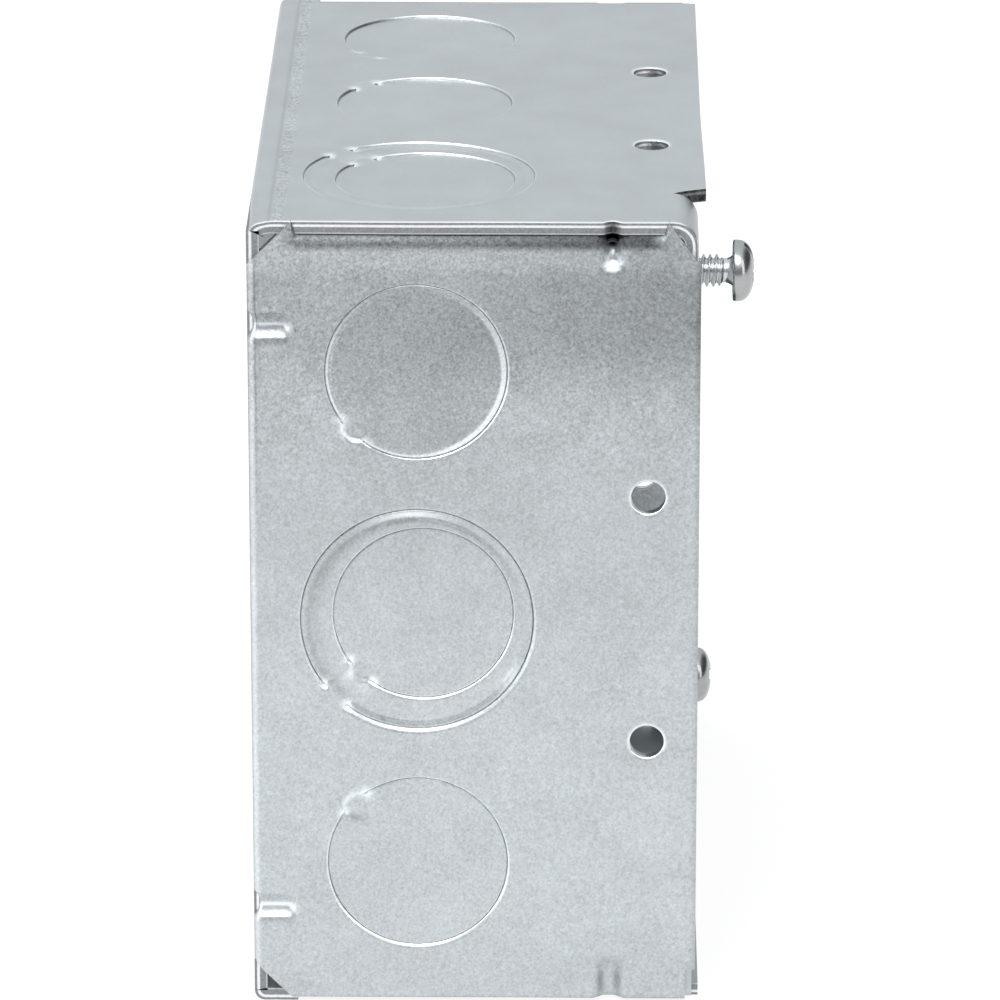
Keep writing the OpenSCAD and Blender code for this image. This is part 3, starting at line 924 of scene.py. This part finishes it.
class Recipe:
    """Builds the node tree of a material or of the world."""

    def __init__(self, holder: bpy.types.Material | bpy.types.World) -> None:
        """Empties the holder's tree."""
        self.holder = holder
        holder.use_nodes = True
        self.tree = holder.node_tree
        self.tree.nodes.clear()

    def node(self, kind: str, output: int | str = 0, settings: dict | None = None,
             **sockets: "Wire | float | tuple") -> Wire:
        """Adds any node.

        Args:
            kind: the node's type, without its ShaderNode prefix.
            output: the output wanted, by number or name.
            settings: the node's own settings, and stops for a ramp's stops.
            sockets: values or links of its inputs, by name with _ for spaces.

        Returns:
            The output's value.
        """
        node = self.tree.nodes.new("ShaderNode" + kind)
        for key, value in (settings or {}).items():
            setattr(node, key, value)
        for key, value in sockets.items():
            wanted = key.replace("_", " ")
            enabled = [s for s in node.inputs if s.enabled and s.name == wanted]
            socket = enabled[0] if enabled else node.inputs[int(key.lstrip("i"))]
            if isinstance(value, Wire):
                self.tree.links.new(value.socket, socket)
            else:
                socket.default_value = value
        found = [s for s in node.outputs if s.enabled]
        return Wire(self.tree, found[output] if isinstance(output, int) else node.outputs[output])

    def place(self) -> Wire:
        """The point on the object, in millimetres."""
        metres = self.node("TexCoord", "Object")
        return self.node("VectorMath", settings={"operation": "SCALE"}, i0=metres, Scale=1000.0)

    def noise(self, point: Wire, size_mm: float, detail: float = 2.0, rough: float = 0.5,
              shift: float = 0.0) -> Wire:
        """Noise from about -1 to 1, whose lumps are about size_mm across."""
        value = self.node("TexNoise", settings={"noise_dimensions": "4D"}, Vector=point,
                          W=shift, Scale=1 / size_mm, Detail=detail, Roughness=rough)
        return (value - 0.5) * 2.0

    def ease(self, value: Wire, low: float, high: float, to_low: float = 0.0,
             to_high: float = 1.0) -> Wire:
        """A smooth step from to_low below low to to_high above high."""
        return self.node("MapRange", settings={"interpolation_type": "SMOOTHSTEP"}, Value=value,
                         From_Min=low, From_Max=high, To_Min=to_low, To_Max=to_high)

    def shade(self, colour: tuple[float, float, float], amount: Wire) -> Wire:
        """A colour made lighter or darker by an amount round 1."""
        base = self.node("CombineXYZ", X=colour[0], Y=colour[1], Z=colour[2])
        return self.node("VectorMath", settings={"operation": "SCALE"}, i0=base, Scale=amount)

    def mark(self, name: str) -> Wire:
        """A mark that the piece's points carry."""
        return self.node("Attribute", "Fac", {"attribute_type": "GEOMETRY",
                                              "attribute_name": name})

    def finish(self, surface: Wire) -> bpy.types.Material | bpy.types.World:
        """Links the surface to the tree's output, and returns the holder."""
        kind = "World" if isinstance(self.holder, bpy.types.World) else "Material"
        out = self.tree.nodes.new("ShaderNodeOutput" + kind)
        self.tree.links.new(surface.socket, out.inputs["Surface"])
        return self.holder


@dataclass(frozen=True)
class GalvanisedSheet:
    """Cold rolled sheet with a thin zinc coat: grey, finely crinkled and cloudy."""

    colour: tuple[float, float, float] = (0.585, 0.621, 0.643)
    roughness: float = 0.42

    def build(self) -> bpy.types.Material:
        """Builds the material.

        Returns:
            The material, from three sizes of noise on the colour, roughness and bump.
        """
        recipe = Recipe(bpy.data.materials.new("galvanised_sheet"))
        point = recipe.place()
        crinkle = recipe.noise(point, 0.55, 3.0, 0.6)
        speck = recipe.noise(point, 0.28, 1.0, 0.5, 3.0)
        cloud = recipe.noise(point, 5.5, 3.0, 0.55, 7.0)
        patch = recipe.noise(point, 26.0, 2.0, 0.5, 11.0)
        gap, burnish_and_highlight, tone, grain = (recipe.mark(name) for name in ("gap", "burnish_and_highlight", "tone", "grain"))
        fine = (crinkle * 0.30 + speck * 0.36) * grain
        # The burnish mark lightens the zinc for burnish and painted highlights; the gap and tone marks
        # darken it, mostly as painted shade.
        value = 1.0 + fine + cloud * (grain * 0.10 + 0.07) + patch * 0.10 + burnish_and_highlight * 0.75
        value = value * (1.0 - gap * 0.28) * (1.0 - tone)
        # Where the painted shade is deep, the zinc is also rougher.
        deep_shade = (tone - 0.4).math("MAXIMUM", 0.0)
        rough = self.roughness + cloud * 0.06 + crinkle * 0.05 - burnish_and_highlight * 0.12 + deep_shade * 1.2
        bump = recipe.node("Bump", Strength=0.4, Distance=0.025 * MM,
                           Height=(crinkle + speck * 0.5) * grain)
        return recipe.finish(recipe.node(
            "BsdfPrincipled", Base_Color=recipe.shade(self.colour, value), Metallic=1.0,
            Roughness=rough, Normal=bump))


@dataclass(frozen=True)
class CutEdge:
    """A sheared edge: a bright burnished band near one face, then fractured grey steel."""

    colour: tuple[float, float, float] = (0.44, 0.455, 0.47)
    roughness: float = 0.45

    def build(self) -> bpy.types.Material:
        """Builds the material from how far through the sheet a point lies.

        Returns:
            The material, streaked across the sheet by noise that is long that way.
        """
        recipe = Recipe(bpy.data.materials.new("cut_edge"))
        through = recipe.mark("through")
        point = recipe.place()
        streak = recipe.noise(point, 0.35, 3.0, 0.7)
        cut_edge_shade = recipe.mark("cut_edge_shade")
        bright = recipe.ease(through, 0.16, 0.24) * recipe.ease(through, 0.36, 0.46, 1.0, 0.0)
        burr = recipe.ease(through, 0.84, 0.92) * recipe.ease(through, 0.95, 1.0, 1.0, 0.0)
        # Cut faces in the slit and the gusset's notch are painted dark as shade.
        value = (0.68 + bright * 1.3 + burr * 0.6) * (1.0 - cut_edge_shade * 0.8) + streak * 0.4
        bump = recipe.node("Bump", Strength=0.5, Distance=0.05 * MM, Height=streak)
        return recipe.finish(recipe.node(
            "BsdfPrincipled", Base_Color=recipe.shade(self.colour, value), Metallic=1.0,
            Roughness=self.roughness - bright * 0.15, Normal=bump))


@dataclass(frozen=True)
class ScrewZinc:
    """Bright zinc plate on a steel screw, with a darker copy painted on the head as shade."""

    name: str
    colour: tuple[float, float, float]
    roughness: float = 0.26

    def build(self) -> bpy.types.Material:
        """Builds the material: a fine cloud on the colour and the roughness."""
        recipe = Recipe(bpy.data.materials.new(self.name))
        point = recipe.place()
        cloud = recipe.noise(point, 0.9, 3.0, 0.6)
        grain = recipe.noise(point, 0.16, 2.0, 0.6, 5.0)
        bump = recipe.node("Bump", Strength=0.3, Distance=0.01 * MM, Height=grain)
        return recipe.finish(recipe.node(
            "BsdfPrincipled",
            Base_Color=recipe.shade(self.colour, 1.0 + cloud * 0.12 + grain * 0.08),
            Metallic=1.0, Roughness=self.roughness + cloud * 0.08, Normal=bump))


@dataclass(frozen=True)
class StudioFloor:
    """A white floor that keeps a faint shadow, a little whiter to the camera."""

    glow: float = 0.80
    lift: float = 0.05
    colour: float = 0.80

    def build(self) -> bpy.types.Material:
        """Builds the material: plain, and lifted to white for the camera and mirrors."""
        recipe = Recipe(bpy.data.materials.new("studio_floor"))
        camera = recipe.node("LightPath", "Is Camera Ray")
        seen = camera + recipe.node("LightPath", "Is Glossy Ray")
        plain = recipe.node("BsdfDiffuse", Color=(self.colour, self.colour, self.colour, 1.0))
        dim = recipe.node("BsdfDiffuse", Color=(0.20, 0.20, 0.20, 1.0))
        white = recipe.node("Emission", Color=(1.0, 1.0, 1.0, 1.0),
                            Strength=camera * self.lift + self.glow)
        lifted = recipe.node("AddShader", i0=white, i1=dim)
        return recipe.finish(recipe.node(
            "MixShader", i0=seen.math("MINIMUM", 1.0), i1=plain, i2=lifted))


# Pieces

@dataclass
class CoverScrew:
    """A machine screw with a round head, a slot and a cross recess."""

    name: str
    node: str
    body: str
    place: tuple[float, float, float]
    turn_deg: float
    head_d: float = 7.5
    head_h: float = 2.6
    length: float = 9.5
    thread_d: float = 4.0
    root_d: float = 2.95
    pitch: float = 0.794
    neck: float = 1.0
    slot_w: float = 1.1

    def shank(self) -> tuple[np.ndarray, np.ndarray]:
        """The thread as a radius over angle and distance below the head.

        The radius is the root's, plus the tooth height times a rounded triangle wave
        of distance / pitch - angle / 2 pi. It fades in below the neck, which flares as
        a square towards the head, and a chamfer cuts it at the point.

        Returns:
            Points and faces.
        """
        below = np.linspace(0, self.length, 190)[:, None]
        angle = np.linspace(0, 2 * np.pi, 56, endpoint=False)[None, :]
        wave = 1 - np.abs(2 * ((below / self.pitch - angle / (2 * np.pi)) % 1) - 1)
        tooth = smooth_step(wave, 0.08, 0.95)
        fade = smooth_step(below, self.neck, self.neck + self.pitch)
        flare = 0.42 * np.clip(1 - below / self.neck, 0, 1) ** 2
        radius = self.root_d / 2 + flare + (self.thread_d - self.root_d) / 2 * tooth * fade
        radius = np.minimum(radius, self.thread_d / 2 - 0.6 + (self.length - below))
        points = np.stack([-below + 0 * angle, radius * np.cos(angle), radius * np.sin(angle)],
                          axis=-1).reshape(-1, 3)
        faces = grid_faces(190, 56, wrap=True)
        points = np.concatenate([points, [[-self.length, 0.0, 0.0]]])
        last = 189 * 56 + np.arange(56)
        cap = [(a, b, 190 * 56) for a, b in zip(last, np.roll(last, -1))]
        return points, [tuple(f) for f in faces] + cap

    def head(self) -> tuple[np.ndarray, list[tuple[int, ...]]]:
        """The head as a profile turned about its axis.

        The profile runs out along the flat underside, round the rim and over a crown
        in which (r / rim)^2.4 + (height / crown)^2.4 is 1.

        Returns:
            Points and faces.
        """
        rim, lift = self.head_d / 2, 0.5
        crown = self.head_h - lift
        sweep = np.linspace(0, math.pi / 2 - 0.02, 30)
        over = np.stack([rim * np.cos(sweep) ** (2 / 2.4),
                         lift + crown * np.sin(sweep) ** (2 / 2.4)], axis=-1)
        under = np.array([[1.2, 0.0], [rim - 0.3, 0.0], [rim - 0.12, 0.05], [rim - 0.02, 0.18],
                          [rim, 0.34]])
        profile = np.concatenate([under, over])
        angle = np.linspace(0, 2 * np.pi, 96, endpoint=False)
        points = np.stack([profile[:, 1][:, None] + 0 * angle,
                           profile[:, :1] * np.cos(angle), profile[:, :1] * np.sin(angle)],
                          axis=-1).reshape(-1, 3)
        rows = len(profile)
        faces = [tuple(reversed(f)) for f in grid_faces(rows, 96, wrap=True).tolist()]
        ends = [tuple(range(96)), tuple(reversed(range((rows - 1) * 96, rows * 96)))]
        return points, faces + ends

    def recess(self) -> bpy.types.Object:
        """The slot and cross as one solid to cut from the head, tapering as they go in.

        Returns:
            The cutting object, which doesn't render.
        """
        half_w, top = self.slot_w / 2, self.head_h + 1
        boxes = [(self.head_d, half_w, self.head_h * 0.52), (half_w * 1.3, self.head_d * 0.27,
                                                             self.head_h * 0.30)]
        points, faces = [], []
        for number, (across, along, floor) in enumerate(boxes):
            for x, grow in ((floor, 0.92), (top, 1.08)):
                for y, z in ((-1, -1), (1, -1), (1, 1), (-1, 1)):
                    points.append((x, y * across * grow, z * along * grow))
            k = number * 8
            faces += [(k, k + 3, k + 2, k + 1), (k + 4, k + 5, k + 6, k + 7)]
            faces += [(k + i, k + (i + 1) % 4, k + 4 + (i + 1) % 4, k + 4 + i) for i in range(4)]
        mesh = bpy.data.meshes.new(self.name + "_recess")
        mesh.from_pydata((self.set_in_place(np.array(points)) * MM).tolist(), [], faces)
        cutter = bpy.data.objects.new(self.name + "_recess", mesh)
        bpy.context.scene.collection.objects.link(cutter)
        return cutter

    def set_in_place(self, points: np.ndarray) -> np.ndarray:
        """Turns points about the screw's axis and moves them to its place."""
        turn = math.radians(self.turn_deg)
        y = points[:, 1] * math.cos(turn) - points[:, 2] * math.sin(turn)
        z = points[:, 1] * math.sin(turn) + points[:, 2] * math.cos(turn)
        return np.stack([points[:, 0], y, z], axis=-1) + np.array(self.place)

    def build(self) -> tuple[bpy.types.Object, bpy.types.Object]:
        """Builds the shank and the cut head.

        Returns:
            The two pieces, both riding with the screw's body.
        """
        points, faces = self.shank()
        shank = put_mesh(self.name + "_shank", self.set_in_place(points), faces, self.body, 50.0)
        points, faces = self.head()
        head = put_mesh(self.name + "_head", self.set_in_place(points), faces, self.body, 35.0)
        cutter = self.recess()
        cut = head.modifiers.new("recess", "BOOLEAN")
        cut.operation, cut.solver, cut.object, cut.use_self = "DIFFERENCE", "EXACT", cutter, True
        depsgraph = bpy.context.evaluated_depsgraph_get()
        shaped = bpy.data.meshes.new_from_object(head.evaluated_get(depsgraph))
        head.modifiers.clear()
        head.data = shaped
        bpy.data.objects.remove(cutter)
        soften = head.modifiers.new("soften", "BEVEL")
        soften.width, soften.segments, soften.limit_method = 0.07 * MM, 2, "ANGLE"
        soften.angle_limit, soften.use_clamp_overlap = math.radians(40), True
        shaped.set_sharp_from_angle(angle=math.radians(40))
        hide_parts(self.node)
        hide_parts(self.node)
        return shank, head


# Studio

@dataclass
class Studio:
    """The camera, the lights, the world and the floor."""

    focal_px: float = 7305.7
    elevation_deg: float = 19.378
    yaw_deg: float = -0.728
    roll_deg: float = -0.004
    shift_mm: tuple[float, float] = (2.925, -2.148)
    distance_mm: float = 941.2
    aim_mm: tuple[float, float, float] = (27.0, 0.0, 0.0)

    def camera(self) -> None:
        """Sets the camera that was fitted to the photograph's edges and holes."""
        yaw, rise = math.radians(self.yaw_deg), math.radians(self.elevation_deg)
        ahead = Vector((math.sin(yaw) * math.cos(rise), math.cos(yaw) * math.cos(rise),
                        -math.sin(rise)))
        right = Vector((math.cos(yaw), -math.sin(yaw), 0.0))
        up = right.cross(ahead)
        place = Vector(self.aim_mm) - ahead * self.distance_mm \
            + right * self.shift_mm[0] + up * self.shift_mm[1]
        data = bpy.data.cameras.new("camera")
        data.sensor_width = 36.0
        data.lens = self.focal_px * 36.0 / 1000.0
        data.clip_start, data.clip_end = 0.05, 20.0
        camera = bpy.data.objects.new("camera", data)
        bpy.context.scene.collection.objects.link(camera)
        axes = Matrix((right, up, -ahead)).transposed() @ Matrix.Rotation(
            math.radians(self.roll_deg), 3, "Z")
        camera.matrix_world = Matrix.Translation(place * MM) @ axes.to_4x4()
        bpy.context.scene.camera = camera

    def lamp(self, name: str, place: tuple[float, float, float], size: tuple[float, float],
             watts: float) -> None:
        """Adds a soft box that faces the middle of the object.

        Args:
            name: the lamp's name.
            place: its place in metres.
            size: its width and height in metres.
            watts: its power.
        """
        data = bpy.data.lights.new(name, "AREA")
        data.shape, data.size, data.size_y, data.energy = "RECTANGLE", size[0], size[1], watts
        lamp = bpy.data.objects.new(name, data)
        bpy.context.scene.collection.objects.link(lamp)
        lamp.location = place
        aim = Vector((0.027, 0.0, 0.0)) - Vector(place)
        lamp.rotation_euler = aim.to_track_quat("-Z", "Y").to_euler()

    def world(self) -> None:
        """A surround that is bright overhead, dim low in front and dark to the right.

        The camera sees it as white.
        """
        world = bpy.data.worlds.new("studio")
        bpy.context.scene.world = world
        recipe = Recipe(world)
        way = recipe.node("TexCoord", "Generated")
        up, right, away = (recipe.node("SeparateXYZ", axis, Vector=way) for axis in "ZXY")
        dim = recipe.ease(up, 0.2, 0.65, 0.6, 0.0) * recipe.ease(away, -0.7, -0.2, 1.0, 0.0)
        tent = recipe.node("Background", Color=(0.97, 0.99, 1.0, 1.0),
                           Strength=recipe.ease(up, 0.1, 0.9, 0.71, 0.95) * (1.0 - dim)
                           * recipe.ease(right, 0.4, 0.75, 1.0, 0.12))
        white = recipe.node("Background", Color=(1.0, 1.0, 1.0, 1.0), Strength=1.0)
        recipe.finish(recipe.node("MixShader", i0=recipe.node("LightPath", "Is Camera Ray"),
                                  i1=tent, i2=white))

    def floor(self) -> None:
        """Adds the floor that the box stands on."""
        half = 6.0
        mesh = bpy.data.meshes.new("floor")
        level = cad_box[0][2] - 0.00002
        mesh.from_pydata([(-half, -half, level), (half, -half, level), (half, half, level),
                          (-half, half, level)], [], [(0, 1, 2, 3)])
        floor = bpy.data.objects.new("floor", mesh)
        bpy.context.scene.collection.objects.link(floor)
        floor.data.materials.append(StudioFloor().build())

    def build(self) -> None:
        """Sets up the whole studio."""
        bpy.context.scene.view_settings.view_transform = "Standard"
        self.camera()
        self.world()
        self.floor()
        self.lamp("key", (-0.15, -0.52, 0.88), (1.0, 0.45), 8.0)
        self.lamp("left", (-0.85, -0.35, 0.30), (0.4, 0.8), 2.5)
        self.lamp("right", (0.70, -0.60, 0.42), (0.28, 0.85), 1.7)


def dress(pieces: list[bpy.types.Object], materials: list[bpy.types.Material],
          slot: str) -> None:
    """Fills the pieces' material slots, and names the record's slot that they stand for."""
    for piece in pieces:
        for number, material in enumerate(materials):
            if number < len(piece.data.materials):
                piece.data.materials[number] = material
            else:
                piece.data.materials.append(material)
        log.info("%s: %d faces, %s", piece.name, len(piece.data.polygons), slot)


def main() -> None:
    """Builds the box, its screws and the studio."""
    logging.basicConfig(level=logging.INFO, format="%(message)s")
    walls = [SideWall("near_wall", Side.NEAR), SideWall("far_wall", Side.FAR),
             EaredWall("top_wall", Side.TOP), EaredWall("bottom_wall", Side.BOTTOM), BackPlate()]
    dress([wall.build() for wall in walls], [GalvanisedSheet().build(), CutEdge().build()],
          "galvanised_sheet")
    shank_zinc = ScrewZinc("screw_zinc", (0.66, 0.675, 0.68)).build()
    # The head gets a darker copy of the zinc, as painted shade.
    shaded_head_zinc = ScrewZinc("screw_zinc_head", (0.43, 0.445, 0.45)).build()
    half, ear_face = 50.8, 54.6
    screws = [
        CoverScrew("upper_screw", "upper_cover_screw", "upper_screw",
                   (ear_face + 4.1, -(half - 7.2), half - 8.1), 98.0),
        CoverScrew("lower_screw", "lower_cover_screw", "lower_screw",
                   (ear_face + 0.9, half - 7.2, -(half - 8.1)), 65.0),
    ]
    for screw in screws:
        shank, head = screw.build()
        dress([shank], [shank_zinc], "screw_zinc")
        dress([head], [shaded_head_zinc], "screw_zinc")
    Studio().build()


if __name__ == "__main__":
    main()
